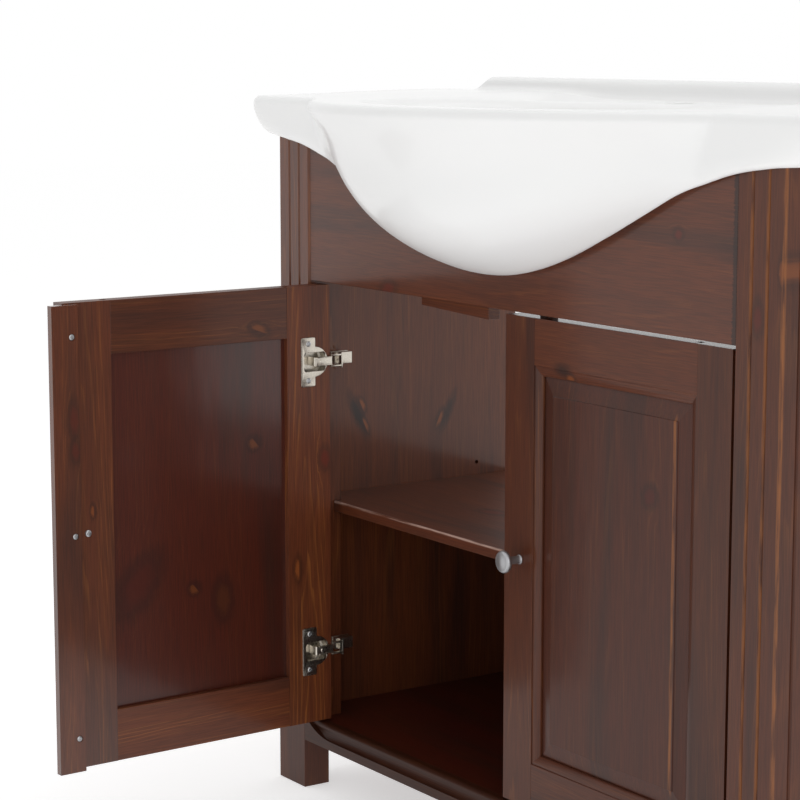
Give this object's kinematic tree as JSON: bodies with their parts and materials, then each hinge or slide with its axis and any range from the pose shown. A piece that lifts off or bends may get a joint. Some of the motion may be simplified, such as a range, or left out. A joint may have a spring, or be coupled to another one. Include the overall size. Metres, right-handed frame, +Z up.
{
  "type": "vanity unit",
  "caption": "Stained pine bathroom vanity with two framed doors, an inner shelf, fluted posts and a bow-front ceramic washbasin on top.",
  "frame": {"origin": "centre of the bounding box at floor level, with the left door standing open", "axes": "+X to the right as seen from the front, +Y towards the wall, +Z up"},
  "size_m": [1.0448, 0.7188, 0.884],
  "materials": {
    "glazed_ceramic": "white glaze, glossy",
    "stained_pine": "pine stained dark walnut under clear gloss varnish",
    "nickel_hinge": "nickel plated",
    "brushed_knob": "brushed",
    "zinc_screw": "zinc plated"
  },
  "bodies": {
    "cabinet": {"washbasin": "glazed_ceramic", "left_front_post": "stained_pine", "right_front_post": "stained_pine", "left_side_panel": "stained_pine", "right_side_panel": "stained_pine", "front_frieze": "stained_pine", "left_stop_cleat": "stained_pine", "right_stop_cleat": "stained_pine", "upper_back_rail": "stained_pine", "lower_back_board": "stained_pine", "bottom_board": "stained_pine", "front_base_rail": "stained_pine", "left_front_foot": "stained_pine", "right_front_foot": "stained_pine", "left_rear_foot": "stained_pine", "right_rear_foot": "stained_pine", "shelf": "stained_pine", "shelf_pins": "zinc_screw", "left_hinge_arms": "nickel_hinge", "left_hinge_plates": "nickel_hinge", "left_plate_screws": "zinc_screw", "right_hinge_arms": "nickel_hinge", "right_hinge_plates": "nickel_hinge", "right_plate_screws": "zinc_screw"},
    "left_door": {"left_hinge_stile": "stained_pine", "left_free_stile": "stained_pine", "left_top_rail": "stained_pine", "left_bottom_rail": "stained_pine", "left_panel": "stained_pine", "left_knob": "brushed_knob", "left_knob_screw": "zinc_screw", "left_hinge_cups": "nickel_hinge", "left_hinge_links": "nickel_hinge", "left_cup_screws": "zinc_screw", "closing_strip": "stained_pine", "strip_screws": "zinc_screw"},
    "right_door": {"right_hinge_stile": "stained_pine", "right_free_stile": "stained_pine", "right_top_rail": "stained_pine", "right_bottom_rail": "stained_pine", "right_panel": "stained_pine", "right_knob": "brushed_knob", "right_knob_screw": "zinc_screw", "right_hinge_cups": "nickel_hinge", "right_hinge_links": "nickel_hinge", "right_cup_screws": "zinc_screw"}
  },
  "joints": [
    {"name": "left_door_swing", "type": "hinge", "parent": "cabinet", "child": "left_door", "pos_m": [-0.374, 0.01888, 0.365], "axis": [0, 0, 1], "range_deg": [-17, 88]},
    {"name": "right_door_swing", "type": "hinge", "parent": "cabinet", "child": "right_door", "pos_m": [0.374, 0.01888, 0.365], "axis": [0, 0, 1], "range_deg": [0, 105]}
  ]
}
